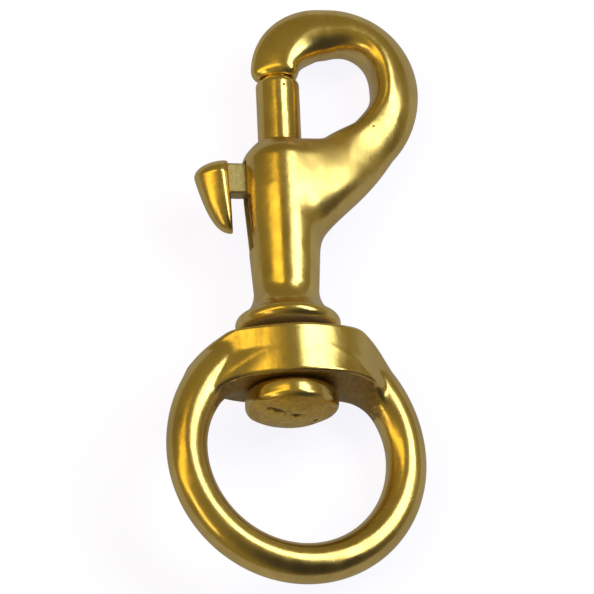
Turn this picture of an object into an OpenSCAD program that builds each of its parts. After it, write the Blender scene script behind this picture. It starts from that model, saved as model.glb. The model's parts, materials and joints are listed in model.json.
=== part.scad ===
// Swivel-eye bolt snap in cast brass, lying as it comes to rest.
// Each piece is drawn upright: the barrel stands on Z with the foot of its
// collar at z = 0, the bow of the hook is on +X and the front faces -Y.

/* [Bolt] */

// diameter of the sliding bolt
bolt_d = 6.1; // [5.5:0.1:6.8]
// gap between bolt and bore, each side
bolt_gap = 0.08; // [0.02:0.01:0.1]
// length of bolt that shows between barrel and nose
gate_l = 9.7; // [9:0.1:12]
// how far the bolt slides to open the hook
travel = 8; // [5:0.1:9]
// bevel at the tip of the bolt
bolt_bevel = 1; // [0.6:0.1:1.2]
// length of bolt below the thumb stud's neck
tail_l = 2.4; // [2:0.1:4]

/* [Barrel] */

// outside diameter of the barrel near its top
barrel_d = 11; // [10:0.1:13]
// outside diameter of the neck above the collar
neck_d = 9.1; // [8.6:0.1:10.5]
// height of the barrel
barrel_h = 28.2; // [26:0.1:32]
// rounding of the barrel's top
shoulder_r = 4.5; // [2.6:0.1:5]
// diameter of the collar
collar_d = 14.6; // [13:0.1:16]
// height of the collar's rim
collar_h = 1.7; // [1:0.1:2.5]
// radius of the flare between collar and neck
flare_r = 4.6; // [3:0.1:6]

/* [Hook] */

// thickness of the bow
bow_d = 6.7; // [6:0.1:7.5]
// how far the nose stands off the barrel's axis, away from the bow
nose_shift = 0.3; // [0:0.1:0.5]
// how much slimmer the bow is in its far bend
far_slim = 0.6; // [0:0.1:0.8]
// clear width between the bolt and the bow
throat_w = 10.3; // [8:0.1:13]
// bend radius over the nose, on the centre line
nose_bend_r = 6.4; // [5:0.1:8]
// level run at the top of the bow
top_l = 1.4; // [0:0.1:3]
// extra thickness in the bend over the nose
nose_swell = 1; // [0:0.1:1]
// how far past that bend the bow is still thicker
swell_l = 6; // [2:0.1:8]
// rounding of the nose's end
nose_round = 0.8; // [0.3:0.1:1]
// straight part of the nose below that bend
nose_l = 1.3; // [0.6:0.1:3]
// bend radius below the bow's far side, on the outer edge
side_bend_r = 15; // [12:0.1:18]
// angle past level at which the arm leaves the bow
arm_angle = 42; // [35:1:50]
// width of the arm where it leaves the bow
arm_w = 7.6; // [7:0.1:9.5]
// extra width of the arm halfway to the barrel
arm_swell = 2.6; // [0:0.1:3]
// how far the middle of the arm is drawn toward the bolt
arm_lift = 0.3; // [0:0.1:0.6]
// height at which the arm has run out into the barrel
arm_foot = 9; // [7:0.1:11]

/* [Thumb stud] */

// height of the thumb knob from tip to crown
knob_h = 10.6; // [9:0.1:12]
// reach of the knob from the barrel's axis
knob_reach = 12.4; // [11:0.1:14]
// depth of the knob from front to back
knob_w = 6; // [4:0.1:8]
// height of the flat neck that runs in the slot
neck_h = 4.5; // [3.5:0.1:5.5]
// how far the neck's top lies below the barrel's top
neck_drop = 3.4; // [3:0.1:5]
// thickness of that neck
neck_t = 2.6; // [2:0.1:3.2]
// clearance between knob and barrel at the knob's crown
knob_stand = 2.1; // [1.5:0.1:2.6]
// how much nearer to the barrel the knob's tip is
knob_slant = 0.4; // [0:0.1:1]
// depth to which the neck is let into the knob, and its pin into the neck
neck_root = 1.5; // [1:0.1:2]

/* [Spring] */

// spring wire
spring_wire = 0.7; // [0.5:0.1:0.9]
// number of turns
spring_turns = 6; // [4:1:6]

/* [Rivet and eye] */

// diameter of the rivet's head
head_d = 12.9; // [11:0.1:14]
// thickness of the rivet's head at its rim
head_h = 3.4; // [2.6:0.1:5]
// height of the dome on the head
head_dome = 1.5; // [0.5:0.1:2]
// inside diameter of the eye
eye_d = 25.8; // [22:0.1:30]
// thickness of the eye's ring
eye_wire = 5.6; // [5:0.1:7]
// extra thickness of the ring where it runs into the bridge
eye_swell = 2; // [0:0.1:2.4]
// height of the eye's bridge along the rivet
bridge_h = 7.1; // [5:0.1:8]
// depth of the bridge from front to back
bridge_t = 14.2; // [12:0.1:14.4]
// radius of the bridge's bulging faces
bridge_face_r = 14; // [11:0.1:18]
// end play of the eye on the rivet
eye_play = 0.9; // [0.6:0.1:2]
// depth of the flat in the top of the eye's opening
eye_flat = 3.3; // [2:0.1:4]

/* [Resting pose] */

// dip of the hook's end below level
pitch = 2.6; // [0:0.1:6]
// roll toward the bow's side
roll = 8; // [0:0.1:12]
// turn of the eye on the rivet against the hook
eye_turn = 8; // [-20:0.5:20]
// lean of the loose eye on the rivet
eye_lean = -2.2; // [-2.6:0.1:2.6]

/* [Hidden] */

$fa = 4;
$fs = 0.2;

brass = [0.80, 0.62, 0.28];
dull_brass = [0.74, 0.60, 0.36];
steel = [0.62, 0.63, 0.64];

// running gaps that are not sizes of the object
press_gap = 0.01;
slot_gap = 0.25;
seat_gap = 0.1;
seat_side = 0.15;
head_gap = 0.35;
pin_gap = 0.3;

bolt_r = bolt_d / 2;
bore_r = bolt_r + bolt_gap;
bow_r = bow_d / 2;

// heights on the barrel's axis
nose_z = barrel_h + gate_l;
seat_depth = 0.3;
seat_r = bolt_r - bolt_bevel + seat_depth - seat_gap + seat_side;
bolt_top = nose_z + seat_depth - seat_gap;
neck_top = barrel_h - neck_drop;
neck_bottom = neck_top - neck_h;
slot_top = neck_top + slot_gap;
slot_bottom = neck_bottom - travel - slot_gap;
bolt_bottom = neck_bottom - tail_l;
plug_top = bolt_bottom - travel - spring_wire * (spring_turns + 0.6);

// the bow: a tight bend over the nose and a wider one down the far side
far_x = bolt_r + throat_w + bow_r;
far_bend_r = far_x + nose_shift - nose_bend_r - top_l;
far_mid = far_x - far_bend_r;
bend_z = nose_z + nose_l;
far_z = bend_z + nose_bend_r - far_bend_r;

// the thumb knob stands clear of the barrel
knob_x = -(barrel_d / 2 + knob_stand);
knob_top = neck_top + 0.5;
knob_tip = knob_top - knob_h;
knob_out = knob_reach + knob_x;

// the eye hangs on the rivet's head
bridge_top = -eye_play;
bridge_foot = bridge_top - bridge_h;
head_top = bridge_foot - head_gap;
ring_r = (eye_d + eye_wire) / 2;
eye_z = bridge_foot - eye_d / 2 + eye_flat;
bridge_mid = (bridge_top + bridge_foot) / 2;

// easing from 0 to 1 with level ends
function ease(t) = t * t * (3 - 2 * t);

// a cubic curve through p and q with handles a and b
function curve(p, a, b, q, t) =
    p * pow(1 - t, 3) + a * 3 * t * pow(1 - t, 2) + b * 3 * t * t * (1 - t) + q * pow(t, 3);
function curve_way(p, a, b, q, t) =
    (a - p) * pow(1 - t, 2) + (b - a) * 2 * t * (1 - t) + (q - b) * t * t;

// stations of the hook from nose to barrel: [x, z, heading, half width, half depth]
nose_end = [for (i = [0 : 3]) let (a = i * 30, w = bow_r - nose_round * (1 - sin(a)))
    [-nose_shift, nose_z + nose_round * (1 - cos(a)), 90, w, w]];
nose_run = nose_l + nose_bend_r * PI / 2;
function swell(run) = nose_swell / 2 * pow(sin(180 * min(run / (nose_run + swell_l), 1)), 2);
nose_bend = [for (i = [0 : 11]) let (
        a = 180 - i * 90 / 11, w = swell(nose_l + nose_bend_r * (180 - a) * PI / 180))
    [nose_bend_r * (1 + cos(a)) - nose_shift - w * cos(a), bend_z + (nose_bend_r - w) * sin(a),
     a - 90, bow_r + w, bow_r]];
far_bend = [for (i = [0 : 11]) let (
        a = 90 - i * 90 / 11,
        run = nose_run + top_l + far_bend_r * (90 - a) * PI / 180,
        w = bow_r - far_slim / 2 * pow(sin(2 * a), 2) + swell(run),
        r = far_bend_r + bow_r - w)
    [far_mid + r * cos(a), far_z + r * sin(a), a - 90, w, bow_r]];
side_bend = [for (i = [1 : 7]) let (
        a = -i * arm_angle / 7,
        w = bow_r + (arm_w / 2 - bow_r) * ease(i / 7),
        r = side_bend_r - w)
    [far_x + bow_r - side_bend_r + r * cos(a), far_z + r * sin(a), a - 90, w, bow_r]];
arm_start = [for (k = [0, 1]) side_bend[6][k]];
arm_end = [0, arm_foot];
arm_handle = arm_start + 6.5 * [cos(side_bend[6][2]), sin(side_bend[6][2])];
foot_handle = arm_end + [0, 10];
arm = [for (i = [1 : 16]) let (
        t = i / 16,
        p = curve(arm_start, arm_handle, foot_handle, arm_end, t),
        d = curve_way(arm_start, arm_handle, foot_handle, arm_end, t),
        a = atan2(d[1], d[0]),
        hump = pow(sin(180 * pow(t, 0.7)), 2),
        w = (1 - t) * arm_w / 2 + t * (neck_d / 2 - 0.55) + arm_swell / 2 * hump)
    [p[0] + arm_lift * hump * sin(a), p[1] - arm_lift * hump * cos(a), a, w, bow_r + 0.75 * ease(t)]];
hook_line = concat(nose_end, nose_bend, far_bend, side_bend, arm);

// a closed skin over rings of points that all have the same count
module skin(rings) {
    n = len(rings[0]);
    m = len(rings);
    sides = [for (i = [0 : m - 2], j = [0 : n - 1]) let (k = (j + 1) % n)
        [i * n + j, i * n + k, (i + 1) * n + k, (i + 1) * n + j]];
    first = [[for (j = [n - 1 : -1 : 0]) j]];
    last = [[for (j = [0 : n - 1]) (m - 1) * n + j]];
    polyhedron([for (r = rings, p = r) p], concat(first, sides, last), convexity = 6);
}

// an oval section set across the hook's line at one station
function oval(s, n) = [for (j = [0 : n - 1]) let (a = -360 * j / n)
    [s[0] + s[3] * cos(a) * sin(s[2]), s[4] * sin(a), s[1] - s[3] * cos(a) * cos(s[2])]];

module barrel_form() {
    top_r = barrel_d / 2;
    neck_r = neck_d / 2;
    round_z = barrel_h - sqrt(pow(shoulder_r, 2) - pow(bore_r + 0.25 - top_r + shoulder_r, 2));
    flare_z = collar_h + sqrt(pow(flare_r, 2) - pow(flare_r + neck_r - collar_d / 2, 2));
    rotate_extrude() {
        // rim of the collar
        translate([0, 0.3]) square([collar_d / 2, collar_h - 0.3]);
        square([collar_d / 2 - 0.3, collar_h]);
        translate([collar_d / 2 - 0.3, 0.3]) circle(0.3);
        // flare up to the neck
        difference() {
            translate([0, collar_h - 0.1]) square([collar_d / 2, flare_z - collar_h + 0.1]);
            translate([neck_r + flare_r, flare_z]) circle(flare_r);
        }
        // taper from the neck to the barrel's full size
        polygon([[0, flare_z], [neck_r, flare_z], [top_r, barrel_h - 8],
                 [top_r, round_z], [0, round_z]]);
        // rounded top, down to a narrow flat round the bore
        intersection() {
            translate([0, round_z - 0.1]) square([top_r, barrel_h - round_z + 0.1]);
            union() {
                translate([top_r - shoulder_r, round_z]) circle(shoulder_r);
                translate([0, round_z - 0.1]) square([top_r - shoulder_r, barrel_h]);
            }
        }
    }
}

module thumb_slot() {
    w = neck_t + 2 * slot_gap;
    translate([-barrel_d, -w / 2, slot_bottom]) cube([barrel_d, w, slot_top - slot_bottom]);
}

module hook_body() {
    color(brass) difference() {
        union() {
            barrel_form();
            skin([for (s = hook_line) oval(s, 28)]);
        }
        translate([0, 0, -1]) cylinder(r = bore_r, h = nose_z);
        translate([0, 0, nose_z - 1]) cylinder(r = seat_r, h = 1 + seat_depth);
        thumb_slot();
    }
}

module plunger() {
    pin_r = neck_t / 2;
    color(brass) difference() {
        union() {
            translate([0, 0, bolt_bottom]) cylinder(r = bolt_r, h = bolt_top - bolt_bevel - bolt_bottom);
            translate([0, 0, bolt_top - bolt_bevel])
                cylinder(r1 = bolt_r, r2 = bolt_r - bolt_bevel, h = bolt_bevel);
        }
        translate([0, 0, neck_bottom + neck_h / 2]) rotate([0, -90, 0]) cylinder(r = pin_r, h = bolt_d);
    }
}

// the knob's round section at a share of its height: it bulges to a crown, its inner side is straight
// and its outer side slants to the tip
function knob_ring(u, n) = let (
        crown = 0.77,
        s = u < crown ? pow(u / crown, 0.38) : sqrt(1 - pow((u - crown) / (1.004 - crown), 2)),
        inner = knob_x + knob_slant * (1 - u))
    [for (j = [0 : n - 1]) let (a = 360 * j / n)
        [inner - knob_out / 2 * s * (1 + cos(a)), knob_w / 2 * s * sin(a), knob_tip + knob_h * u]];

module thumb_stud() {
    pin_r = neck_t / 2 - press_gap;
    steps = [0.01, 0.04, 0.1, 0.18, 0.28, 0.4, 0.52, 0.64, 0.72, 0.77, 0.83, 0.88, 0.92, 0.95, 0.98, 1];
    color(dull_brass) union() {
        skin([for (u = steps) knob_ring(u, 24)]);
        // flat neck through the slot
        translate([knob_x - neck_root, -neck_t / 2, neck_bottom])
            cube([neck_root - knob_x - bolt_r - 0.05, neck_t, neck_h]);
        // pin pressed into the bolt
        translate([-bolt_r - neck_root, 0, neck_bottom + neck_h / 2])
            rotate([0, 90, 0]) cylinder(r = pin_r, h = bolt_r + neck_root - 0.2);
    }
}

module spring() {
    foot = plug_top + spring_wire / 2 + 0.02;
    rise = bolt_bottom - plug_top - spring_wire - 0.04;
    coil_r = bore_r - 0.35 - spring_wire / 2;
    steps = 20 * spring_turns;
    lead = atan2(rise, 360 * spring_turns * PI / 180 * coil_r);
    // a round wire wound up the bore, cut square to its run
    color(steel) skin([for (i = [0 : steps]) let (
            a = 360 * spring_turns * i / steps, z = foot + rise * i / steps)
        [for (j = [0 : 7]) let (
                b = 45 * j, u = spring_wire / 2 * cos(b), v = spring_wire / 2 * sin(b))
            [(coil_r + u) * cos(a) + v * sin(lead) * sin(a),
             (coil_r + u) * sin(a) - v * sin(lead) * cos(a),
             z + v * cos(lead)]]]);
}

module swivel_stud() {
    r = head_d / 2;
    e = 1.2;
    f = 1.0;
    foot = head_top - head_h;
    // the dome is an arc that runs on from the rounded edge
    dome_r = (pow(r - f, 2) + pow(f + head_dome, 2) - f * f) / (2 * head_dome);
    dome_edge = (r - f) * dome_r / (dome_r - f);
    color(dull_brass) rotate_extrude() {
        // shank through the eye and into the bore
        translate([0, head_top - 1]) square([bore_r - press_gap, plug_top - head_top + 1]);
        // head with rounded edges
        translate([0, foot + f]) square([r, head_h - e - f]);
        translate([0, foot]) square([r - f, head_h - e]);
        translate([0, head_top - e - 0.1]) square([r - e, e + 0.1]);
        translate([r - e, head_top - e]) circle(e);
        translate([r - f, foot + f]) circle(f);
        // peened dome
        intersection() {
            translate([0, foot - head_dome]) square([dome_edge, head_dome + f]);
            translate([0, foot - head_dome + dome_r]) circle(dome_r, $fa = 1);
        }
    }
}

// a round section of the eye's ring at an angle from its top
function eye_ring(a, r, n) = [for (j = [0 : n - 1]) let (b = 360 * j / n, w = ring_r + r * cos(b))
    [w * sin(a), r * sin(b), w * cos(a)]];

module swivel_eye() {
    block_r = ring_r + eye_wire / 2 + 0.5;
    color(brass) difference() {
        union() {
            // ring, thicker where it runs into the bridge
            translate([0, 0, eye_z]) skin([for (i = [0 : 60]) let (
                    a = 15 + 330 * i / 60,
                    r = eye_wire / 2 + eye_swell / 2 * pow(max(cos(a), 0), 2))
                eye_ring(a, r, 24)]);
            // bridge with bulging faces, trimmed round by the ring
            intersection() {
                translate([0, 0, bridge_foot]) linear_extrude(bridge_h + 1) intersection() {
                    translate([0, bridge_face_r - bridge_t / 2]) circle(bridge_face_r, $fa = 2);
                    translate([0, bridge_t / 2 - bridge_face_r]) circle(bridge_face_r, $fa = 2);
                }
                translate([0, 0, eye_z]) rotate([90, 0, 0])
                    cylinder(r = block_r, h = bridge_t + 2, center = true, $fa = 2);
            }
        }
        // level top that clears the collar
        translate([-ring_r, -bridge_t, bridge_top]) cube([2 * ring_r, 2 * bridge_t, eye_wire + 4]);
        // hole for the rivet
        translate([0, 0, bridge_foot - 1]) cylinder(r = bore_r + pin_gap, h = bridge_h + eye_wire);
    }
}

// lays the upright snap down at its resting angles, centred over its footprint
module lying() {
    sway = (eye_z - bridge_mid) * sin(eye_lean);
    drop = bridge_mid + (eye_z - bridge_mid) * cos(eye_lean);
    left = (sway - ring_r) * cos(roll + eye_turn) - eye_wire / 2;
    right = far_x * cos(roll) + bow_r;
    far = (bend_z + nose_bend_r) * cos(pitch) + bow_r - nose_bend_r * sin(roll) * sin(pitch);
    near = (drop - ring_r) * cos(pitch) - eye_wire / 2;
    low = collar_d / 2 * cos(pitch) + collar_h * sin(pitch);
    translate([-(left + right) / 2, -(near + far) / 2, low])
        rotate([-(90 + pitch), 0, 0]) rotate([0, 0, roll]) children();
}

// turns the loose eye on the rivet and leans it within its play
module askew() {
    rotate([0, 0, eye_turn]) translate([0, 0, bridge_mid])
        rotate([0, eye_lean, 0]) translate([0, 0, -bridge_mid]) children();
}

lying() {
    hook_body();
    plunger();
    thumb_stud();
    spring();
    swivel_stud();
    askew() swivel_eye();
}
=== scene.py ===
import json
import math

import bpy
import numpy as np
from mathutils import Matrix, Vector


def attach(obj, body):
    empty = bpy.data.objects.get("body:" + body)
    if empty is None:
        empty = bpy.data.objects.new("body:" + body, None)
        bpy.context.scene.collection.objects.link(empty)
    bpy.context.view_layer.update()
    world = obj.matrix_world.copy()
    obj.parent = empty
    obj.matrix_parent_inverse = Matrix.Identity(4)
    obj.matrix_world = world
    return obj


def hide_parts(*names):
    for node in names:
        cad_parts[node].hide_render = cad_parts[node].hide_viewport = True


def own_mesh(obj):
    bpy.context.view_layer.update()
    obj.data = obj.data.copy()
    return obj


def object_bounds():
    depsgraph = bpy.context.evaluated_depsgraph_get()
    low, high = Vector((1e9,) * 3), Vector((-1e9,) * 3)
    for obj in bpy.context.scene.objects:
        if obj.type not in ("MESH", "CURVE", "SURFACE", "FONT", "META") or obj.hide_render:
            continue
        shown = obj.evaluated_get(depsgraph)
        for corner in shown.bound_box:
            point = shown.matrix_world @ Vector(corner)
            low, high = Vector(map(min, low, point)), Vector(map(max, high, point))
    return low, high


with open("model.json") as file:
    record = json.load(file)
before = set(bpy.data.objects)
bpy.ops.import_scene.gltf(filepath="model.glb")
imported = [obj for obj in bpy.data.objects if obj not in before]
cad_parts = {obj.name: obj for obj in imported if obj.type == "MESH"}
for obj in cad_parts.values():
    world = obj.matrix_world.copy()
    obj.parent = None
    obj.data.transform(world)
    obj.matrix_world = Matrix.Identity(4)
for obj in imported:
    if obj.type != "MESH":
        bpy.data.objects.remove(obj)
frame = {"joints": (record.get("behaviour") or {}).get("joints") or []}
cadBox = [list(corner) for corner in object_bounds()]

# Every piece is worked out upright in millimetres, then laid down into the frame:
# barrel on z with the collar's foot at 0, bow on +x, front toward -y.
swivelJoint = next(j for j in frame["joints"] if j["name"] == "eye_swivel")
rest = {
    "roll": 8.0,        # degrees that the hook leans toward its bow
    "eyeTurn": 8.0,     # further turn of the eye on the rivet
    "eyeLean": -2.2,    # lean of the loose eye in its own plane
    "pivotZ": -4.45,    # height of the swivel joint on the barrel's axis
}


def uprightAxes():
    # the barrel's axis comes from the swivel joint, and the roll turns x and y round it
    up = np.array(swivelJoint["axis"], float)
    up = up / np.linalg.norm(up)
    pitch = math.asin(-up[2])
    roll = math.radians(rest["roll"])
    across = [math.cos(roll), -math.sin(roll) * math.sin(pitch), -math.sin(roll) * math.cos(pitch)]
    return np.stack([across, np.cross(up, across), up])


axes = uprightAxes()
footPoint = np.array(swivelJoint["pos_m"], float) - axes[2] * rest["pivotZ"] / 1000


def layDown(points):
    return footPoint + (points / 1000) @ axes


def eyeToUpright(points):
    # lean about y at the pivot, then turn about z
    lean, turn = math.radians(rest["eyeLean"]), math.radians(rest["eyeTurn"])
    x, y, z = points[:, 0], points[:, 1], points[:, 2] - rest["pivotZ"]
    xl = x * math.cos(lean) + z * math.sin(lean)
    zl = z * math.cos(lean) - x * math.sin(lean)
    return np.stack([xl * math.cos(turn) - y * math.sin(turn),
                     xl * math.sin(turn) + y * math.cos(turn),
                     zl + rest["pivotZ"]], 1)


# Helpers for surfaces

def ease(t):
    t = np.clip(t, 0, 1)
    return t * t * (3 - 2 * t)


def softMin(a, b, k):
    # the lesser of two fields, with a fillet about k / 4 deep where they meet
    h = np.maximum(k - np.abs(a - b), 0) / k
    return np.minimum(a, b) - h * h * k / 4


def softMax(a, b, k):
    return -softMin(-a, -b, k)


def netSurface(field, low, high, step):
    # one point in each cell that the surface crosses, at the mean of the crossings on the cell's edges,
    # and a quad round each grid edge that the surface cuts
    gx, gy, gz = (np.arange(a, b + step, step) for a, b in zip(low, high))
    values = field(gx[:, None, None], gy[None, :, None], gz[None, None, :])
    inside = values < 0
    corners = [(i, j, k) for i in (0, 1) for j in (0, 1) for k in (0, 1)]
    cells = tuple(n - 1 for n in values.shape)
    count = sum(inside[i:i + cells[0], j:j + cells[1], k:k + cells[2]].astype(np.int8)
                for i, j, k in corners)
    live = np.argwhere((count > 0) & (count < 8))
    number = np.full(cells, -1, np.int64)
    number[tuple(live.T)] = np.arange(len(live))
    at = np.stack([values[live[:, 0] + i, live[:, 1] + j, live[:, 2] + k] for i, j, k in corners], 1)
    total, hits = np.zeros((len(live), 3)), np.zeros(len(live))
    for a in range(8):
        for b in range(a + 1, 8):
            if sum(p != q for p, q in zip(corners[a], corners[b])) != 1:
                continue
            cut = (at[:, a] < 0) != (at[:, b] < 0)
            share = np.where(cut, at[:, a] / np.where(cut, at[:, a] - at[:, b], 1), 0)
            way = np.array(corners[b], float) - np.array(corners[a], float)
            total += np.where(cut[:, None], np.array(corners[a]) + share[:, None] * way, 0)
            hits += cut
    points = np.array(low) + step * (live + total / hits[:, None])
    quads = []
    for axis in range(3):
        one, two = (axis + 1) % 3, (axis + 2) % 3
        ends = [slice(None)] * 3
        ends[axis] = slice(0, -1)
        first = inside[tuple(ends)]
        ends[axis] = slice(1, None)
        second = inside[tuple(ends)]
        for forward in (True, False):
            edge = np.argwhere((first & ~second) if forward else (~first & second))
            edge = edge[(edge[:, one] > 0) & (edge[:, two] > 0)]
            around = []
            for p, q in ((0, 0), (1, 0), (1, 1), (0, 1)):
                cell = edge.copy()
                cell[:, one] -= p
                cell[:, two] -= q
                around.append(number[tuple(cell.T)])
            quads.append(np.stack(around if forward else around[::-1], 1))
    return points, np.concatenate(quads)


def slopeOf(field, points, reach=0.02):
    # steepest way out of the field, from four samples at the corners of a small tetrahedron
    total = np.zeros_like(points)
    for way in np.array([[1, 1, 1], [1, -1, -1], [-1, 1, -1], [-1, -1, 1]], float):
        probe = points + reach * way
        total += field(probe[:, 0], probe[:, 1], probe[:, 2])[:, None] * way
    return total / (4 * reach)


def settle(field, points, rounds=3, most=0.15):
    # each point steps along the slope onto the surface
    for _ in range(rounds):
        slope = slopeOf(field, points)
        height = field(points[:, 0], points[:, 1], points[:, 2])
        step = height / np.maximum((slope ** 2).sum(1), 0.2)
        points = points - np.clip(step, -most, most)[:, None] * slope
    slope = slopeOf(field, points)
    return points, slope / np.linalg.norm(slope, axis=1)[:, None]


def makeObject(name, points, faces, normals=None, **attributes):
    # faces are an array of quads or a list of index lists; each further keyword is one value per point
    mesh = bpy.data.meshes.new(name)
    mesh.vertices.add(len(points))
    mesh.vertices.foreach_set("co", np.asarray(points, np.float32).ravel())
    if isinstance(faces, list):
        counts = np.array([len(f) for f in faces])
        loops = np.concatenate([np.asarray(f) for f in faces])
    else:
        counts = np.full(len(faces), faces.shape[1])
        loops = faces.ravel()
    mesh.loops.add(len(loops))
    mesh.loops.foreach_set("vertex_index", loops.astype(np.int32))
    mesh.polygons.add(len(counts))
    mesh.polygons.foreach_set("loop_start", np.concatenate([[0], np.cumsum(counts)[:-1]]).astype(np.int32))
    mesh.update(calc_edges=True)
    mesh.validate()
    mesh.polygons.foreach_set("use_smooth", np.ones(len(mesh.polygons), bool))
    for key, value in attributes.items():
        layer = mesh.attributes.new(key, "FLOAT", "POINT")
        layer.data.foreach_set("value", np.asarray(value, np.float32))
    if normals is not None:
        mesh.normals_split_custom_set_from_vertices(np.asarray(normals, np.float32))
    mesh.update()
    piece = bpy.data.objects.new(name, mesh)
    bpy.context.scene.collection.objects.link(piece)
    return piece


def gridFaces(rows, columns):
    # quads between neighbouring rows of a grid whose columns close into a ring
    i, j = np.meshgrid(np.arange(rows - 1), np.arange(columns), indexing="ij")
    k = (j + 1) % columns
    low, high = i * columns, (i + 1) * columns
    return np.stack([low + j, low + k, high + k, high + j], -1).reshape(-1, 4)


def closedGrid(grid):
    # a grid of rings (rows, columns, 3) with a fan of triangles to a pole at either end
    rows, columns, _ = grid.shape
    points = np.concatenate([grid.reshape(-1, 3), grid[0].mean(0)[None], grid[-1].mean(0)[None]])
    j = np.arange(columns)
    k = (j + 1) % columns
    foot, top = rows * columns, rows * columns + 1
    last = (rows - 1) * columns
    fans = [list(t) for t in np.stack([np.full(columns, foot), k, j], 1)]
    fans += [list(t) for t in np.stack([np.full(columns, top), last + j, last + k], 1)]
    return points, [list(q) for q in gridFaces(rows, columns)] + fans


def roundedPath(corners, radii, perCorner=7, spacing=0.35):
    # a polyline whose corners become curves that start and end at the corner's radius from it
    corners = [np.array(c, float) for c in corners]
    path = [corners[0]]
    for before, here, after, radius in zip(corners, corners[1:], corners[2:], radii):
        a = here + (before - here) / np.linalg.norm(before - here) * radius
        b = here + (after - here) / np.linalg.norm(after - here) * radius
        t = np.linspace(0, 1, perCorner)[:, None]
        path += list((1 - t) ** 2 * a + 2 * t * (1 - t) * here + t ** 2 * b)
    path.append(corners[-1])
    path = np.array(path)
    pieces = []
    for a, b in zip(path, path[1:]):
        n = max(1, int(np.ceil(np.linalg.norm(b - a) / spacing)))
        pieces.append(a + (b - a) * (np.arange(n) / n)[:, None])
    return np.concatenate(pieces + [path[-1:]])


def turnedGrid(profile, columns):
    # profile (radius, height) carried round the barrel's axis
    angle = np.linspace(0, 2 * np.pi, columns, endpoint=False)
    r, z = profile[:, :1], profile[:, 1:]
    return np.stack([r * np.cos(angle), r * np.sin(angle), z + 0 * angle], -1)


# The hook: barrel, collar, arm, bow and nose in one casting

hook = {
    # bore, barrel and collar
    "boreR": 3.13, "barrelR": 5.5, "neckR": 4.55, "barrelH": 28.2, "taperTop": 20.2,
    "chamferH": 2.3, "chamferW": 2.05, "collarR": 7.3, "collarH": 1.7, "flareR": 4.6, "flareEdge": 0.8,
    "beadR": 1.15, "footZ": 0.5, "slotW": 3.1, "slotLow": 12.05, "slotHigh": 25.05,
    # nose and bow
    "boltR": 3.05, "gateL": 9.7, "throatW": 10.3, "bowR": 3.35, "noseL": 1.3, "noseShift": 0.3,
    "noseBendR": 6.4, "noseSwell": 1.0, "swellL": 6.0, "noseRound": 1.7, "seatR": 2.4, "seatDepth": 0.3,
    "topL": 1.4, "farSlim": 0.6, "sideBendR": 15.0,
    # arm
    "armAngle": 42.0, "armW": 7.6, "armSwell": 2.6, "armLift": 0.3, "armFoot": 9.0, "armHandle": 6.5,
    "footHandle": 10.0, "armDeep": 1.0, "armDeepen": 2.2, "armEndIn": 0.55, "armHump": 0.7,
    # how the arm thins out inside the barrel: start and length as shares of its run, and by how much
    "thin": (0.6, 0.4, 0.45), "deepThin": (0.5, 0.4, 0.6),
    # softness of the blend between arm and barrel, how much softer it is above the crotch,
    # and how front and back fill between the two
    "crotch": 2.0,
    "crotchMore": 1.6, "crotchAt": (4.4, 28.2), "crotchWide": 2.6,
    "web": 2.1, "webAt": (7.0, 24.9), "webWide": 5.0,
    # how much deeper the section is toward its inner side, at nose, top, far side, side bend and arm,
    # the depth of its front (no value for the top), and how square it is
    "egg": (0.35, 0.05, 0.32, 0.36, -0.05), "frontDeep": (0.86, 1.24, 1.06, 1.0), "square": 1.6,
    # softness of the edges
    "topSoft": 0.5, "footSoft": 0.3, "rimSoft": 0.4, "seatSoft": 0.1, "boreSoft": 0.35, "slotSoft": 0.25,
    # one casting pit on the arm, and the hollow that the polishing wheel didn't reach
    "pitAt": (12.7, -3.4, 29.95), "pitR": 0.32, "satinAt": (6.5, 26.0), "satinR": 5.5,
    # corners and spacing of the net; from this corner, it has no pinched edges
    "low": (-8, -8, -0.43), "high": (20.9, 8, 49.6), "step": 0.23,
}
noseZ = hook["barrelH"] + hook["gateL"]


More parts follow.
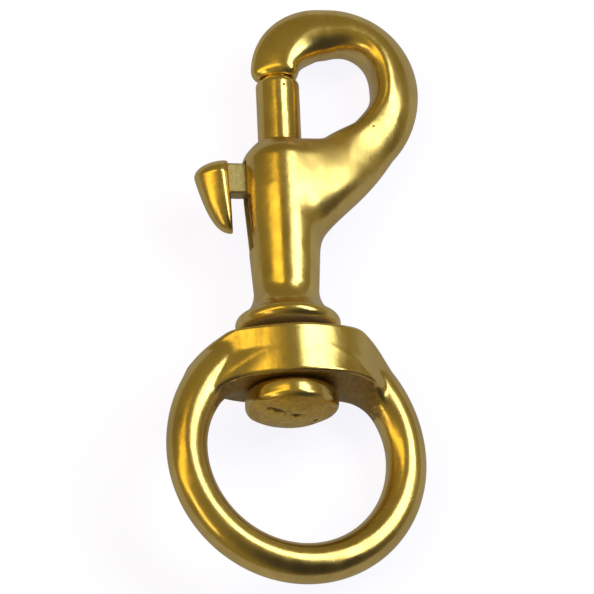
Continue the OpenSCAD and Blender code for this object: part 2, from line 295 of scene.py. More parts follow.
def hookLine(p):
    # centre line from nose to barrel as arrays: x, z, heading, half width, half depth, lean, front depth
    bowR, shift, bend = p["bowR"], p["noseShift"], p["noseBendR"]
    bendZ = noseZ + p["noseL"]
    farX = p["boltR"] + p["throatW"] + bowR
    farBend = farX + shift - bend - p["topL"]
    farMid, farZ = farX - farBend, bendZ + bend - farBend
    noseRun = p["noseL"] + bend * np.pi / 2

    def swell(run):
        return p["noseSwell"] / 2 * np.sin(np.pi * np.clip(run / (noseRun + p["swellL"]), 0, 1)) ** 2

    parts = []
    # straight nose, run on below its end so that a plane can cut it
    z = np.linspace(noseZ - 3, bendZ, 54)[:-1]
    w = swell(z - noseZ)
    parts.append([w - shift, z, 0 * z + np.pi / 2, bowR + w, bowR + 0 * z])
    # bend over the nose, thicker on its inner side
    a = np.radians(np.linspace(180, 90, 130))[:-1]
    w = swell(p["noseL"] + bend * (np.pi - a))
    parts.append([bend * (1 + np.cos(a)) - shift - w * np.cos(a), bendZ + (bend - w) * np.sin(a),
                  a - np.pi / 2, bowR + w, bowR + 0 * a])
    # level top
    x = np.linspace(bend - shift, farMid, 19)[:-1]
    w = swell(noseRun + x - x[0])
    parts.append([x, bendZ + bend - w, 0 * x, bowR + w, bowR + 0 * x])
    # far bend, slimmer on its inner side
    a = np.radians(np.linspace(90, 0, 180))[:-1]
    w = bowR - p["farSlim"] / 2 * np.sin(2 * a) ** 2
    w = w + swell(noseRun + p["topL"] + farBend * (np.pi / 2 - a))
    r = farBend + bowR - w
    parts.append([farMid + r * np.cos(a), farZ + r * np.sin(a), a - np.pi / 2, w, bowR + 0 * a])
    # side bend on one outer radius, widening to the arm
    a = np.radians(np.linspace(0, -p["armAngle"], 120))[:-1]
    w = bowR + (p["armW"] / 2 - bowR) * ease(-a / np.radians(p["armAngle"]))
    r = p["sideBendR"] - w
    sideMid = farX + bowR - p["sideBendR"]
    parts.append([sideMid + r * np.cos(a), farZ + r * np.sin(a), a - np.pi / 2, w, bowR + 0 * a])
    # arm on a cubic curve down into the barrel, thinning out inside it
    end = np.radians(-p["armAngle"])
    r = p["sideBendR"] - p["armW"] / 2
    start = np.array([sideMid + r * np.cos(end), farZ + r * np.sin(end)])
    handle = start + p["armHandle"] * np.array([np.cos(end - np.pi / 2), np.sin(end - np.pi / 2)])
    foot = np.array([0, p["armFoot"]])
    footHandle = foot + [0, p["footHandle"]]
    t = np.linspace(0, 1, 300)[:, None]
    c = (start * (1 - t) ** 3 + handle * 3 * t * (1 - t) ** 2
         + footHandle * 3 * t * t * (1 - t) + foot * t ** 3)
    d = ((handle - start) * (1 - t) ** 2 + (footHandle - handle) * 2 * t * (1 - t)
         + (foot - footHandle) * t * t)
    t = t[:, 0]
    heading = np.unwrap(np.arctan2(d[:, 1], d[:, 0]))
    hump = np.sin(np.pi * t ** p["armHump"]) ** 2
    w = (1 - t) * p["armW"] / 2 + t * (p["neckR"] - p["armEndIn"]) + p["armSwell"] / 2 * hump
    depth = bowR + p["armDeep"] * ease(t * p["armDeepen"])
    lift = p["armLift"] * hump

    def thinning(start, length, share):
        return 1 - share * ease((t - start) / length)

    parts.append([c[:, 0] + lift * np.sin(heading), c[:, 1] - lift * np.cos(heading), heading,
                  w * thinning(*p["thin"]), depth * thinning(*p["deepThin"])])
    line = np.concatenate(parts, 1)
    line[2] = np.unwrap(line[2])
    ends = np.cumsum([len(q[0]) for q in parts])
    split = ends[1] + 9     # halfway along the level top
    run = np.concatenate([[0], np.cumsum(np.hypot(np.diff(line[0]), np.diff(line[1])))])
    # lean and front depth of the section change step by step, the last a third of the way down the arm
    marks = [run[ends[0]], run[split], run[ends[3] - 1], run[ends[4] - 1], run[ends[4] + 110]]

    def steps(values, at):
        rises = [(b - a) * ease((run - m) / (n - m)) for a, b, m, n in zip(values, values[1:], at, at[1:])]
        return values[0] + sum(rises)

    lean = steps(p["egg"], marks)
    front = steps(p["frontDeep"], marks[:1] + marks[2:])
    return np.vstack([line, lean, front]), run, split


def tubeField(line, run, x, y, z):
    # nearest point of the centre line in the plane of the bow, then an oval round it, leaning inward by
    # "egg": with u across and y deep, k = (|u/w|^n + |y/d|^n)^(1/n), and the distance is about
    # (k - 1) / |grad k|
    px, pz = np.broadcast_arrays(x, z)
    shape = px.shape
    px, pz = px.ravel(), pz.ravel()
    s = np.empty(len(px))
    chunk = 8192
    for i in range(0, len(px), chunk):
        part = slice(i, i + chunk)
        gap = (px[part, None] - line[0]) ** 2 + (pz[part, None] - line[1]) ** 2
        s[part] = run[gap.argmin(1)]
    for _ in range(6):
        cx, cz, a = (np.interp(s, run, line[q]) for q in (0, 1, 2))
        along = (px - cx) * np.cos(a) + (pz - cz) * np.sin(a)
        s = np.clip(s + 0.75 * along, run[0], run[-1])
    cx, cz, a, w, d, egg, front = (np.interp(s, run, q) for q in line)
    u = (px - cx) * np.sin(a) - (pz - cz) * np.cos(a)
    beyond = (s <= run[0]) | (s >= run[-1])
    past = np.where(beyond, np.abs((px - cx) * np.cos(a) + (pz - cz) * np.sin(a)), -9)
    u, w, d, egg, front, past = (q.reshape(shape) for q in (u, w, d, egg, front, past))
    d = d * (1 - 0.15 * egg) * (1 + egg * np.clip(u / w, -1.2, 1.2)) * np.where(y < 0, front, 1)
    power = 2 + hook["square"] * np.maximum(egg - 0.1, 0)
    across, deep = np.abs(u) / w, np.abs(y) / d
    k = np.maximum((across ** power + deep ** power) ** (1 / power), 1e-3)
    slope = np.hypot((across / k) ** (power - 1) / w, (deep / k) ** (power - 1) / d)
    return np.maximum((k - 1) / np.maximum(slope, 1e-3), past)


def barrelRadius(p):
    # radius against height: flare above the collar, taper, straight, soft chamfer; smoothed over its joins
    z = np.arange(-3, p["barrelH"] + 3, 0.02)
    flareZ = p["collarH"] + math.sqrt(p["flareR"] ** 2 - (p["flareR"] + p["neckR"] - p["collarR"]) ** 2)
    low = np.clip(flareZ - z, 0, p["flareR"] * 0.97)
    r = np.interp(z, [flareZ, p["taperTop"]], [p["neckR"], p["barrelR"]])
    r = r + p["flareR"] - np.sqrt(p["flareR"] ** 2 - low ** 2)
    r = np.minimum(r, p["collarR"] - p["flareEdge"])
    chamfer = p["barrelR"] - (z - p["barrelH"] + p["chamferH"]) * p["chamferW"] / p["chamferH"]
    r = softMin(r, chamfer, 1.0)
    reach = 30
    bell = np.exp(-np.linspace(-3, 3, 2 * reach + 1) ** 2 / 2)
    r = np.convolve(np.pad(r, reach, mode="edge"), bell / bell.sum(), mode="valid")
    return z, r, np.gradient(r, z)


hookRun = hookLine(hook)
barrelTable = barrelRadius(hook)


def hookField(x, y, z):
    # the sweep is taken in two halves that overlap, so that the nose never blends into the barrel
    line, run, split = hookRun
    p = hook
    r = np.hypot(x, y)
    zt, rt, gt = barrelTable
    barrel = (r - np.interp(z, zt, rt)) / np.sqrt(1 + np.interp(z, zt, gt) ** 2)
    barrel = softMax(softMax(barrel, z - p["barrelH"], p["topSoft"]), p["footZ"] - z, p["footSoft"])
    bead = p["beadR"]
    rim = np.hypot(np.maximum(r - (p["collarR"] - bead), 0), z - bead) - bead
    cast = softMin(barrel, rim, p["rimSoft"])
    overlap = 12
    arm = tubeField(line[:, split - overlap:], run[split - overlap:], x, y, z)
    near = np.exp(-((x - p["crotchAt"][0]) ** 2 + (z - p["crotchAt"][1]) ** 2) / p["crotchWide"] ** 2)
    web = np.exp(-((x - p["webAt"][0]) ** 2 + (z - p["webAt"][1]) ** 2) / p["webWide"] ** 2)
    web = web * ease((np.abs(y) - 0.5) / 2.5)
    cast = softMin(cast, arm, p["crotch"] + p["crotchMore"] * near + p["web"] * web)
    nose = tubeField(line[:, :split + overlap], run[:split + overlap], x, y, z)
    seat = np.maximum(r - p["seatR"], z - noseZ - p["seatDepth"])
    nose = softMax(softMax(nose, noseZ - z, p["noseRound"]), -seat, p["seatSoft"])
    bore = softMax(r - p["boreR"], z - noseZ + 1, 0.2)
    slot = np.maximum(np.abs(y) - p["slotW"] / 2, x)
    slot = np.maximum(slot, np.maximum(p["slotLow"] - z, z - p["slotHigh"]))
    cast = softMax(softMax(cast, -bore, p["boreSoft"]), -slot, p["slotSoft"])
    return np.minimum(cast, nose)


def makeHook():
    p = hook
    points, quads = netSurface(hookField, p["low"], p["high"], p["step"])
    points, normals = settle(hookField, points)
    # dirt and painted shade in the slot, the bore and under the collar
    x, y, z = points.T
    r = np.hypot(x, y)
    grime = ease((0.3 - z) / 0.25)
    grime = np.maximum(grime, (r < p["boreR"] + 0.12) & (z < p["barrelH"] - 0.2))
    inSlot = (np.abs(y) < p["slotW"] / 2 + 0.08) & (x < 0)
    inSlot = inSlot & (z > p["slotLow"] - 0.1) & (z < p["slotHigh"] + 0.1)
    grime = np.maximum(grime, inSlot)
    pit = np.exp(-((points - p["pitAt"]) ** 2).sum(1) / p["pitR"] ** 2)
    satin = np.exp(-((x - p["satinAt"][0]) ** 2 + (z - p["satinAt"][1]) ** 2) / p["satinR"] ** 2)
    return makeObject("hook_casting", layDown(points), quads, normals @ axes,
                      dull=0 * r, grime=grime, scar=pit, satin=satin)


# The eye: a ring that swells into its thick bored bridge

eye = {
    "ringR": 15.7, "wireR": 2.8, "swell": 1.0, "centreZ": -17.6,
    "bridgeTop": -0.9, "bridgeFoot": -8.0, "bridgeHalf": 7.1, "blockR": 19.0,
    # the bridge's front: its even bulge round "crest", the soft ridge, the turn toward one end,
    # and what these take off at the highest place
    "bulge": 0.036, "crest": 3.9, "ridge": -0.7, "ridgeTurn": 0.11, "ridgeW": 1.6,
    "endFrom": 4.0, "endTurn": 0.055, "least": 0.234,
    # softness of the edges and of the join of ring and bridge: outside, inside, and more of it toward +x
    "edgeSoft": 0.6, "topSoft": 0.5, "holeSoft": 0.4, "join": 0.4, "fillet": 2.4, "filletMore": 1.2,
    "holeR": 3.43,
    "low": (-19.4, -7.7, -36.7), "high": (19.4, 7.7, -0.4), "step": 0.22,
}


def eyeField(x, y, z):
    p = eye
    dz = z - p["centreZ"]
    rho = np.maximum(np.hypot(x, dz), 1e-6)
    wire = p["wireR"] + p["swell"] * np.maximum(dz / rho, 0) ** 2
    ring = np.hypot(rho - p["ringR"], y) - wire
    # the bridge bulges front and back, and is cut round by the ring's outside and level above and below;
    # its slope grows evenly with x, faster over the soft ridge at "ridge" and again toward one end;
    # the back is the front turned half round
    s = np.where(y < 0, x, -x)
    end = np.maximum(s - p["endFrom"], 0)
    slope = (p["bulge"] * (s - p["crest"]) + p["ridgeTurn"] * np.tanh((s - p["ridge"]) / p["ridgeW"])
             + p["endTurn"] * end)
    drop = (p["bulge"] / 2 * (s - p["crest"]) ** 2 + p["endTurn"] / 2 * end ** 2
            + p["ridgeTurn"] * p["ridgeW"] * np.log(np.cosh((s - p["ridge"]) / p["ridgeW"])) - p["least"])
    faces = (np.abs(y) - p["bridgeHalf"] + drop) / np.sqrt(1 + slope ** 2)
    block = softMax(softMax(faces, p["bridgeFoot"] - z, p["edgeSoft"]), rho - p["blockR"], p["edgeSoft"])
    inner = ease((p["ringR"] + 0.5 - rho) / 2.5)
    body = softMin(ring, block, p["join"] + (p["fillet"] + p["filletMore"] * ease(x / 4)) * inner)
    body = softMax(body, z - p["bridgeTop"], p["topSoft"])
    hole = np.maximum(np.hypot(x, y) - p["holeR"], p["bridgeFoot"] - 4 - z)
    return softMax(body, -hole, p["holeSoft"])


def makeEye():
    p = eye
    points, quads = netSurface(eyeField, p["low"], p["high"], p["step"])
    points, normals = settle(eyeField, points)
    # cast skin left under the bridge and on the ring's inner wall beside it
    dz = points[:, 2] - p["centreZ"]
    rho = np.hypot(points[:, 0], dz)
    inward = -(normals[:, 0] * points[:, 0] + normals[:, 2] * dz) / rho
    dull = ease((inward - 0.45) / 0.4) * ease((dz - 2.5) / 6)
    # dirt and painted shade between bridge and collar, and in the rivet's hole
    depth = p["bridgeTop"] - points[:, 2]
    fromAxis = np.hypot(points[:, 0], points[:, 1])
    grime = ease((0.25 - depth) / 0.2) * ease((8.2 - fromAxis) / 1.6)
    grime = np.maximum(grime, (fromAxis < p["holeR"] + 0.15) & (points[:, 2] > p["bridgeFoot"] - 0.3))
    up = eyeToUpright(points)
    upNormals = eyeToUpright(normals + [0, 0, rest["pivotZ"]]) - [0, 0, rest["pivotZ"]]
    return makeObject("eye_casting", layDown(up), quads, upNormals @ axes, dull=dull, grime=grime)


# The bolt

bolt = {"r": hook["boltR"], "foot": 17.9, "top": 38.3, "bevel": 1.0, "columns": 128}


def makeBolt():
    p = bolt
    outline = roundedPath([(0.05, p["foot"]), (p["r"], p["foot"]), (p["r"], p["top"] - p["bevel"]),
                           (p["r"] - p["bevel"], p["top"]), (0.05, p["top"])], [0.4, 0.35, 0.3])
    points, faces = closedGrid(turnedGrid(outline, p["columns"]))
    return makeObject("bolt_pin", layDown(points), faces, dull=0 * points[:, 2], grime=0 * points[:, 2])


# The thumb knob and its flat neck

knob = {
    "x": -7.6, "slant": 0.4, "out": 4.8, "skew": 0.9, "half": 3.0, "tip": 14.7, "height": 10.6,
    "crown": 0.77, "taper": 0.38, "rows": 90, "columns": 96,
    "neckLow": 20.3, "neckHigh": 24.8, "neckHalf": 1.3, "neckIn": -3.1, "neckRound": 0.35,
}


def makeKnob():
    p = knob
    # rows run from tip to crown; each ring is an oval, deepest near its inner side,
    # which stays on one straight line
    u = 0.5 - 0.5 * np.cos(np.linspace(0.06, np.pi - 0.06, p["rows"]))[:, None]
    below = (u / p["crown"]) ** p["taper"]
    above = np.sqrt(np.maximum(1 - ((u - p["crown"]) / (1.004 - p["crown"])) ** 2, 0))
    size = np.where(u < p["crown"], below, above)
    a = np.linspace(0, 2 * np.pi, p["columns"], endpoint=False)[None, :]
    x = p["x"] + p["slant"] * (1 - u) - p["out"] / 2 * size * (1 + np.cos(a))
    x = x + p["skew"] * size * np.sin(a) ** 2
    y = -p["half"] * size * np.sin(a)
    z = p["tip"] + p["height"] * u + 0 * a
    points, faces = closedGrid(np.stack([x, y, z], -1))
    # the neck: a rectangle with soft corners carried along x
    half, low, high = p["neckHalf"], p["neckLow"], p["neckHigh"]
    corners = [(0, low), (half, low), (half, high), (-half, high), (-half, low), (0, low)]
    section = roundedPath(corners, [p["neckRound"]] * 4, spacing=0.5)[:-1]
    along = np.linspace(p["x"] - 1.2, p["neckIn"], 16)[:, None]
    neck = np.stack([along + 0 * section[:, 0], section[:, 0] + 0 * along, section[:, 1] + 0 * along], -1)
    neckPoints, neckFaces = closedGrid(neck)
    dull = np.concatenate([0 * points[:, 0], 1 + 0 * neckPoints[:, 0]])
    faces = faces + [[v + len(points) for v in f] for f in neckFaces]
    points = np.concatenate([points, neckPoints])
    return makeObject("thumb_knob", layDown(points), faces, dull=dull, grime=0 * dull)


# The rivet with its peened head

rivet = {
    "shankR": 3.12, "shankTop": 5.28, "headTop": -8.35, "headFoot": -11.75, "headR": 6.45, "dome": 1.5,
    "topRound": 1.5, "edge": 1.2, "columns": 180,
    # dents on the face: place, depth, reach along x and along y; those narrower than "scratch" hold dirt
    "dents": ((-2.6, -3.0, 0.2, 1.5, 0.45), (0.3, -2.5, 0.16, 1.2, 0.35), (3.3, -0.2, 0.15, 0.5, 0.4),
              (2.9, 1.1, 0.12, 0.4, 0.3), (-2.4, 2.0, 0.1, 1.1, 1.1), (1.2, 2.6, 0.1, 1.0, 1.0)),
    "scratch": 0.6,
}


def makeRivet():
    p = rivet
    # the dome is an arc that runs on from the rounded edge, so its radius follows from both
    edge = np.array([p["headR"] - p["edge"], p["headFoot"] + p["edge"]])
    domeR = (edge[0] ** 2 + (p["edge"] + p["dome"]) ** 2 - p["edge"] ** 2) / (2 * p["dome"])
    domeMid = np.array([0, p["headFoot"] - p["dome"] + domeR])
    meet = math.atan2(edge[1] - domeMid[1], edge[0])
    edgeTurn = np.linspace(0, meet, 14)
    domeTurn = np.linspace(meet, -np.pi / 2 + 0.006, 34)[1:]
    upper = roundedPath([(0.05, p["shankTop"]), (p["shankR"], p["shankTop"]), (p["shankR"], p["headTop"]),
                         (p["headR"], p["headTop"]), (p["headR"], edge[1] + 0.05)],
                        [0.3, 0.15, p["topRound"]], spacing=0.2)
    outline = np.concatenate([upper, edge + p["edge"] * np.stack([np.cos(edgeTurn), np.sin(edgeTurn)], 1),
                              domeMid + domeR * np.stack([np.cos(domeTurn), np.sin(domeTurn)], 1)])[::-1]
    points, faces = closedGrid(turnedGrid(outline, p["columns"]))
    # hammer marks: shallow hollows on the face, and a rim that isn't quite round
    x, y, z = points.T
    r = np.hypot(x, y)
    turn = np.arctan2(y, x)
    ragged = 0.16 * np.sin(4 * turn + 0.5) + 0.12 * np.sin(7 * turn + 2.0)
    onFace = ease((p["headFoot"] + 0.55 + ragged - z) / 0.35)
    marks = 0.05 * np.sin(1.1 * x + 0.6) * np.cos(1.3 * y - 0.4)
    scar = 0 * x
    for mx, my, deep, wide, high in p["dents"]:
        mark = np.exp(-((x - mx) / wide) ** 2 - ((y - my) / high) ** 2)
        marks = marks + deep * mark
        scar = np.maximum(scar, mark * (high < p["scratch"]))
    points[:, 2] += onFace * marks
    out = 0.08 * np.sin(3 * turn + 0.8) + 0.05 * np.sin(5 * turn + 2.1)
    headOnly = ease((p["headTop"] - z) / 0.6)
    points[:, 0] += headOnly * out * x / np.maximum(r, 0.1) * ease(r / 3)
    points[:, 1] += headOnly * out * y / np.maximum(r, 0.1) * ease(r / 3)
    # dirt and painted shade on the head's top round the shank, where it sits under the eye's bridge
    grime = (z > p["headTop"] - 0.3) * (r < p["shankR"] + 1.5)
    return makeObject("swivel_rivet", layDown(points), faces,
                      dull=onFace, grime=grime, scar=0.85 * onFace * scar)


# The hidden spring

spring = {"wire": 0.35, "coilR": 2.43, "turns": 6, "foot": 5.65, "top": 17.53, "perTurn": 40, "sides": 12}


def makeSpring():
    # a round wire carried up a helix, its section square to the run
    p = spring
    t = np.linspace(0, 1, p["turns"] * p["perTurn"] + 1)[:, None]
    a = 2 * np.pi * p["turns"] * t
    lead = math.atan2(p["top"] - p["foot"], 2 * np.pi * p["turns"] * p["coilR"])
    b = np.linspace(0, 2 * np.pi, p["sides"], endpoint=False)[None, :]
    u, v = p["wire"] * np.cos(b), -p["wire"] * np.sin(b)
    grid = np.stack([(p["coilR"] + u) * np.cos(a) + v * math.sin(lead) * np.sin(a),
                     (p["coilR"] + u) * np.sin(a) - v * math.sin(lead) * np.cos(a),
                     p["foot"] + (p["top"] - p["foot"]) * t + v * math.cos(lead)], -1)
    points, faces = closedGrid(grid)
    return makeObject("coil_spring", layDown(points), faces)


# Finishes

def newMaterial(name):
    material = bpy.data.materials.new(name)
    material.use_nodes = True
    tree = material.node_tree
    tree.nodes.clear()
    out = tree.nodes.new("ShaderNodeOutputMaterial")
    shader = tree.nodes.new("ShaderNodeBsdfPrincipled")
    tree.links.new(shader.outputs["BSDF"], out.inputs["Surface"])
    return material, tree, shader


def addNode(tree, kind, **settings):
    node = tree.nodes.new(kind)
    for key, value in settings.items():
        if key in node.inputs:
            node.inputs[key].default_value = value
        else:
            setattr(node, key, value)
    return node


def level(tree, source, low, high, toLow, toHigh):
    node = addNode(tree, "ShaderNodeMapRange", clamp=True)
    for index, value in ((1, low), (2, high), (3, toLow), (4, toHigh)):
        node.inputs[index].default_value = value
    tree.links.new(source, node.inputs[0])
    return node.outputs[0]


def feed(tree, socket, value):
    # link the socket to another one, or set its own value
    if isinstance(value, bpy.types.NodeSocket):
        tree.links.new(value, socket)
    else:
        socket.default_value = (*value, 1) if isinstance(value, tuple) else value


def blendColour(tree, factor, first, second):
    # the Mix node keeps its sockets for colours at 6, 7 and 2
    node = addNode(tree, "ShaderNodeMix", data_type="RGBA")
    for index, value in ((0, factor), (6, first), (7, second)):
        feed(tree, node.inputs[index], value)
    return node.outputs[2]


def blendValue(tree, factor, first, second):
    node = addNode(tree, "ShaderNodeMix", data_type="FLOAT")
    for index, value in ((0, factor), (2, first), (3, second)):
        feed(tree, node.inputs[index], value)
    return node.outputs[0]


brass = {
    "gold": (0.89, 0.67, 0.25), "olive": (0.80, 0.60, 0.23), "brown": (0.62, 0.43, 0.15),
    # a matte brown for dirt and painted shade in recesses and gaps, and its roughness
    "grime": (0.48, 0.36, 0.23), "grimeRough": 0.6, "pit": (0.05, 0.035, 0.02),
    # light tone, dark tone and roughness of what isn't polished
    "cast": ((0.46, 0.32, 0.13), (0.32, 0.22, 0.09), 0.5),
    "peened": ((0.84, 0.60, 0.16), (0.62, 0.41, 0.11), 0.38),
    "satin": ((0.62, 0.50, 0.25), (0.46, 0.36, 0.17), 0.45),
    "rough": 0.17, "roughMore": 0.26, "satinMore": 0.2,
    "pitScale": 260.0, "pitSize": 0.055, "pitShare": 0.82,
    # scales of the noises per metre, and the squeeze that draws the streaks out along the snap
    "toneScale": 160, "brownScale": 75, "streakScale": 700, "skinScale": 1400, "shineScale": 420,
    "waveScale": 330, "grainScale": 2600, "dullScale": 900, "grimeScale": 700, "scarScale": 1500,
    "squeeze": (1, 0.08, 1),
}


def brassMaterial(name, finish):
    p = brass
    skin, skinDark, skinRough = finish
    material, tree, shader = newMaterial(name)
    where = addNode(tree, "ShaderNodeTexCoord").outputs["Object"]

    # the same place squeezed along the snap, for streaks that run with it
    drawn = addNode(tree, "ShaderNodeVectorMath", operation="MULTIPLY")
    drawn.inputs[1].default_value = p["squeeze"]
    tree.links.new(where, drawn.inputs[0])

    def noise(scale, detail=3.0, rough=0.55, at=where):
        node = addNode(tree, "ShaderNodeTexNoise", Scale=scale, Detail=detail, Roughness=rough)
        tree.links.new(at, node.inputs["Vector"])
        return node.outputs["Fac"]

    def math2(operation, first, second):
        node = addNode(tree, "ShaderNodeMath", operation=operation)
        feed(tree, node.inputs[0], first)
        feed(tree, node.inputs[1], second)
        return node.outputs[0]

    def ragged(attribute, scale, reach):
        # an attribute of the mesh with its edge broken up by noise
        value = addNode(tree, "ShaderNodeAttribute", attribute_name=attribute).outputs["Fac"]
        broken = math2("ADD", value, level(tree, noise(scale, 4), 0.3, 0.7, -reach, reach))
        return level(tree, broken, 0.35, 0.65, 0, 1)

    dull = ragged("dull", p["dullScale"], 0.3)
    # dirt and painted shade: matte brown, not metal, in the slot, the bore and the gaps between parts
    grime = ragged("grime", p["grimeScale"], 0.2)
    # a few small casting pits near the middle of some cells of a Voronoi pattern, and the marked scars
    cells = addNode(tree, "ShaderNodeTexVoronoi", Scale=p["pitScale"])
    tree.links.new(where, cells.inputs["Vector"])
    pick = addNode(tree, "ShaderNodeSeparateColor")
    tree.links.new(cells.outputs["Color"], pick.inputs[0])
    chosen = math2("GREATER_THAN", pick.outputs[0], p["pitShare"])
    middle = level(tree, cells.outputs["Distance"], 0.4 * p["pitSize"], p["pitSize"], 1, 0)
    pit = math2("MULTIPLY", middle, chosen)
    pit = math2("MAXIMUM", pit, ragged("scar", p["scarScale"], 0.35))

    tone = level(tree, noise(p["toneScale"], 4), 0.35, 0.65, 0, 1)
    polished = blendColour(tree, tone, p["gold"], p["olive"])
    tarnish = level(tree, noise(p["brownScale"], 3), 0.5, 0.75, 0, 0.6)
    polished = blendColour(tree, tarnish, polished, p["brown"])
    streaks = noise(p["streakScale"], 3, 0.5, drawn.outputs[0])
    polished = blendColour(tree, level(tree, streaks, 0.5, 0.75, 0, 0.5), polished, p["brown"])
    castSkin = blendColour(tree, level(tree, noise(p["skinScale"], 5), 0.35, 0.7, 0, 1), skin, skinDark)
    colour = blendColour(tree, dull, polished, castSkin)
    colour = blendColour(tree, grime, colour, p["grime"])
    colour = blendColour(tree, math2("MULTIPLY", pit, 0.8), colour, p["pit"])
    tree.links.new(colour, shader.inputs["Base Color"])
    shine = math2("ADD", level(tree, noise(p["shineScale"], 5), 0.3, 0.7, p["rough"], p["roughMore"]),
                  level(tree, streaks, 0.3, 0.7, -0.03, 0.06))
    satin = addNode(tree, "ShaderNodeAttribute", attribute_name="satin").outputs["Fac"]
    shine = math2("ADD", shine, math2("MULTIPLY", satin, p["satinMore"]))
    rough = blendValue(tree, grime, blendValue(tree, dull, shine, skinRough), p["grimeRough"])
    tree.links.new(rough, shader.inputs["Roughness"])
    tree.links.new(level(tree, grime, 0, 1, 1, 0), shader.inputs["Metallic"])
    # slow waves of hand polishing, then pits, then the grain of the cast skin
    wave = addNode(tree, "ShaderNodeBump", Strength=0.1, Distance=0.0004)
    tree.links.new(noise(p["waveScale"], 2), wave.inputs["Height"])
    dent = addNode(tree, "ShaderNodeBump", Strength=0.6, Distance=0.00015, invert=True)
    tree.links.new(pit, dent.inputs["Height"])
    tree.links.new(wave.outputs["Normal"], dent.inputs["Normal"])
    grain = addNode(tree, "ShaderNodeBump", Distance=0.00012)
    tree.links.new(blendValue(tree, dull, 0.05, 0.5), grain.inputs["Strength"])
    tree.links.new(noise(p["grainScale"], 5, 0.65), grain.inputs["Height"])
    tree.links.new(dent.outputs["Normal"], grain.inputs["Normal"])
    tree.links.new(grain.outputs["Normal"], shader.inputs["Normal"])
    return material


steel = {"dark": (0.30, 0.30, 0.31), "light": (0.52, 0.52, 0.53), "rough": (0.25, 0.4), "scale": 1800}


def steelMaterial():
    material, tree, shader = newMaterial("spring_wire")
    where = addNode(tree, "ShaderNodeTexCoord").outputs["Object"]
    noise = addNode(tree, "ShaderNodeTexNoise", Scale=steel["scale"], Detail=3)
    tree.links.new(where, noise.inputs["Vector"])
    share = level(tree, noise.outputs["Fac"], 0.35, 0.7, 0, 1)
    tree.links.new(blendColour(tree, share, steel["dark"], steel["light"]), shader.inputs["Base Color"])
    tree.links.new(level(tree, noise.outputs["Fac"], 0.3, 0.7, *steel["rough"]), shader.inputs["Roughness"])
    shader.inputs["Metallic"].default_value = 1.0
    return material


def dress(piece, material, body, node):
    piece.data.materials.append(material)
    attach(piece, body)
    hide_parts(node)
    print("made", piece.name, len(piece.data.vertices), "points")
    return piece


castBrass = brassMaterial("cast_brass", brass["cast"])
peenedBrass = brassMaterial("peened_brass", brass["peened"])
satinBrass = brassMaterial("satin_brass", brass["satin"])
dress(makeHook(), castBrass, "hook", "hook_body")
dress(makeEye(), castBrass, "eye", "swivel_eye")
dress(makeBolt(), castBrass, "bolt", "plunger")
dress(makeKnob(), satinBrass, "bolt", "thumb_stud")
dress(makeRivet(), peenedBrass, "hook", "swivel_stud")
coil = dress(makeSpring(), steelMaterial(), "hook", "spring")
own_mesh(coil)

# Floor, world, lights

studio = {
    "floor": (0.30, 0.30, 0.30), "floorHalf": 3.0,
    # the floor's own white for the camera and for the metal, a little cool to balance the warm box
    "cameraGlow": 0.935, "mirrorGlow": 0.217, "glow": (0.92, 0.925, 1.0),
    # soft olive surroundings, and their dark side, by its angle off the line of sight and round it
    # and by the angles from its middle where it begins and is full
    "room": (0.228, 0.186, 0.066), "shade": (0.05, 0.048, 0.043),
    "shadeOff": 44, "shadeRound": -36, "shadeWide": (52, 22),
    # soft boxes by their angle off the camera's line of sight, their angle round it (0 is right, 90 is up),
    # the spin of their long side from square to the line, width and length in metres, watts and colour
    "keyBox": (53, 37, 0, (0.33, 0.75), 2.65, (0.93, 1, 0.87)),
    "warmBox": (44.5, 150, -22, (0.25, 1.05), 1.4, (1, 0.72, 0.12)),
    "smallBox": (41, 198, 0, (0.2, 0.5), 0.55, (1, 0.82, 0.35)),
    "distance": 0.9,
}


def fromCamera(off, around):
    # unit vector by its angle off the camera's line of sight and its angle round it
    right, up, back = cameraAxes()
    t, f = math.radians(off), math.radians(around)
    return math.cos(t) * back + math.sin(t) * (math.cos(f) * right + math.sin(f) * up)


def turnMatrix(x, y, z):
    # the turn whose axes are the three given ones
    return Matrix(np.stack([x, y, z], 1).tolist()).to_4x4()


def makeFloor():
    size, z = studio["floorHalf"], cadBox[0][2]
    corners = np.array([[-size, -size, z], [size, -size, z], [size, size, z], [-size, size, z]])
    floor = makeObject("floor", corners, np.array([[0, 1, 2, 3]]))
    material, tree, shader = newMaterial("floor_white")
    shader.inputs["Base Color"].default_value = (*studio["floor"], 1)
    shader.inputs["Roughness"].default_value = 0.9
    shader.inputs["Specular IOR Level"].default_value = 0.0
    # white for the camera and, less strongly, for what the metal mirrors
    path = addNode(tree, "ShaderNodeLightPath")
    total = None
    for name, share in (("Is Camera Ray", "cameraGlow"), ("Is Glossy Ray", "mirrorGlow"),
                        ("Is Transmission Ray", "mirrorGlow")):
        part = addNode(tree, "ShaderNodeMath", operation="MULTIPLY_ADD")
        tree.links.new(path.outputs[name], part.inputs[0])
        part.inputs[1].default_value = studio[share]
        part.inputs[2].default_value = 0.0
        if total is not None:
            tree.links.new(total, part.inputs[2])
        total = part.outputs[0]
    glow = addNode(tree, "ShaderNodeEmission", Color=(*studio["glow"], 1))
    tree.links.new(total, glow.inputs["Strength"])
    both = addNode(tree, "ShaderNodeAddShader")
    out = next(n for n in tree.nodes if n.type == "OUTPUT_MATERIAL")
    tree.links.new(shader.outputs[0], both.inputs[0])
    tree.links.new(glow.outputs[0], both.inputs[1])
    tree.links.new(both.outputs[0], out.inputs["Surface"])
    floor.data.materials.append(material)


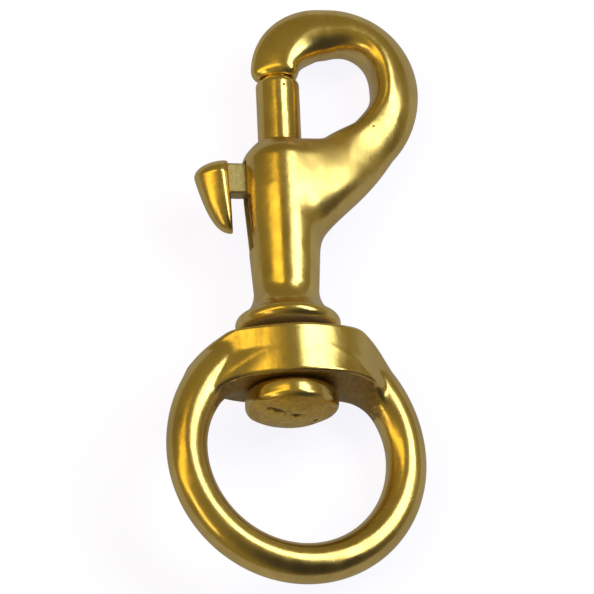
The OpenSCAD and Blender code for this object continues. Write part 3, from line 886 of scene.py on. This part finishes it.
def makeWorld():
    world = bpy.data.worlds.new("studio")
    bpy.context.scene.world = world
    world.use_nodes = True
    tree = world.node_tree
    tree.nodes.clear()
    out = addNode(tree, "ShaderNodeOutputWorld")
    # the room darkens toward its dark side
    way = addNode(tree, "ShaderNodeTexCoord").outputs["Generated"]
    toward = addNode(tree, "ShaderNodeVectorMath", operation="DOT_PRODUCT")
    toward.inputs[1].default_value = tuple(fromCamera(studio["shadeOff"], studio["shadeRound"]))
    tree.links.new(way, toward.inputs[0])
    wide, near = (math.cos(math.radians(a)) for a in studio["shadeWide"])
    shaded = level(tree, toward.outputs["Value"], wide, near, 0, 1)
    colour = blendColour(tree, shaded, studio["room"], studio["shade"])
    room = addNode(tree, "ShaderNodeBackground")
    tree.links.new(colour, room.inputs["Color"])
    white = addNode(tree, "ShaderNodeBackground", Color=(1, 1, 1, 1))
    mix = addNode(tree, "ShaderNodeMixShader")
    path = addNode(tree, "ShaderNodeLightPath")
    tree.links.new(path.outputs["Is Camera Ray"], mix.inputs[0])
    tree.links.new(room.outputs[0], mix.inputs[1])
    tree.links.new(white.outputs[0], mix.inputs[2])
    tree.links.new(mix.outputs[0], out.inputs["Surface"])


# The camera looks down on the snap as the photograph does

view = {
    "azimuth": -6.969, "elevation": 71.356, "roll": 4.852, "distance": 0.6258, "target": (0, 0, 0.006),
    "pixels": 594, "perMetre": 7211.0, "targetAt": (295.152, 292.047),
}


def cameraAxes():
    a, e, r = (math.radians(view[k]) for k in ("azimuth", "elevation", "roll"))
    back = np.array([math.sin(a) * math.cos(e), -math.cos(a) * math.cos(e), math.sin(e)])
    right = np.array([math.cos(a), math.sin(a), 0])
    up = np.cross(back, right)
    return math.cos(r) * right + math.sin(r) * up, -math.sin(r) * right + math.cos(r) * up, back


def makeCamera():
    right, up, back = cameraAxes()
    data = bpy.data.cameras.new("camera")
    data.sensor_fit = "HORIZONTAL"
    data.angle = 2 * math.atan(view["pixels"] / 2 / view["perMetre"] / view["distance"])
    half = view["pixels"] / 2
    data.shift_x = (half - view["targetAt"][0]) / view["pixels"]
    data.shift_y = (view["targetAt"][1] - half) / view["pixels"]
    data.clip_start = 0.05
    camera = bpy.data.objects.new("camera", data)
    place = Vector(view["target"]) + Vector(back) * view["distance"]
    camera.matrix_world = Matrix.Translation(place) @ turnMatrix(right, up, back)
    bpy.context.scene.collection.objects.link(camera)
    bpy.context.scene.camera = camera


def makeLight(name, off, around, spin, size, power, colour):
    way = fromCamera(off, around)
    outward = fromCamera(off + 90, around)
    along = np.cross(way, outward)
    c, d = math.cos(math.radians(spin)), math.sin(math.radians(spin))
    data = bpy.data.lights.new(name, "AREA")
    data.shape = "RECTANGLE"
    data.size, data.size_y = size
    data.energy = power
    data.color = colour
    light = bpy.data.objects.new(name, data)
    turn = turnMatrix(c * outward + d * along, c * along - d * outward, way)
    light.matrix_world = Matrix.Translation(Vector(way) * studio["distance"]) @ turn
    light.visible_camera = False
    bpy.context.scene.collection.objects.link(light)


makeFloor()
makeWorld()
makeCamera()
for name, box in (("key_box", "keyBox"), ("warm_box", "warmBox"), ("small_box", "smallBox")):
    makeLight(name, *studio[box])
bpy.context.scene.view_settings.view_transform = "Standard"
print("made the studio")

bpy.context.view_layer.update()
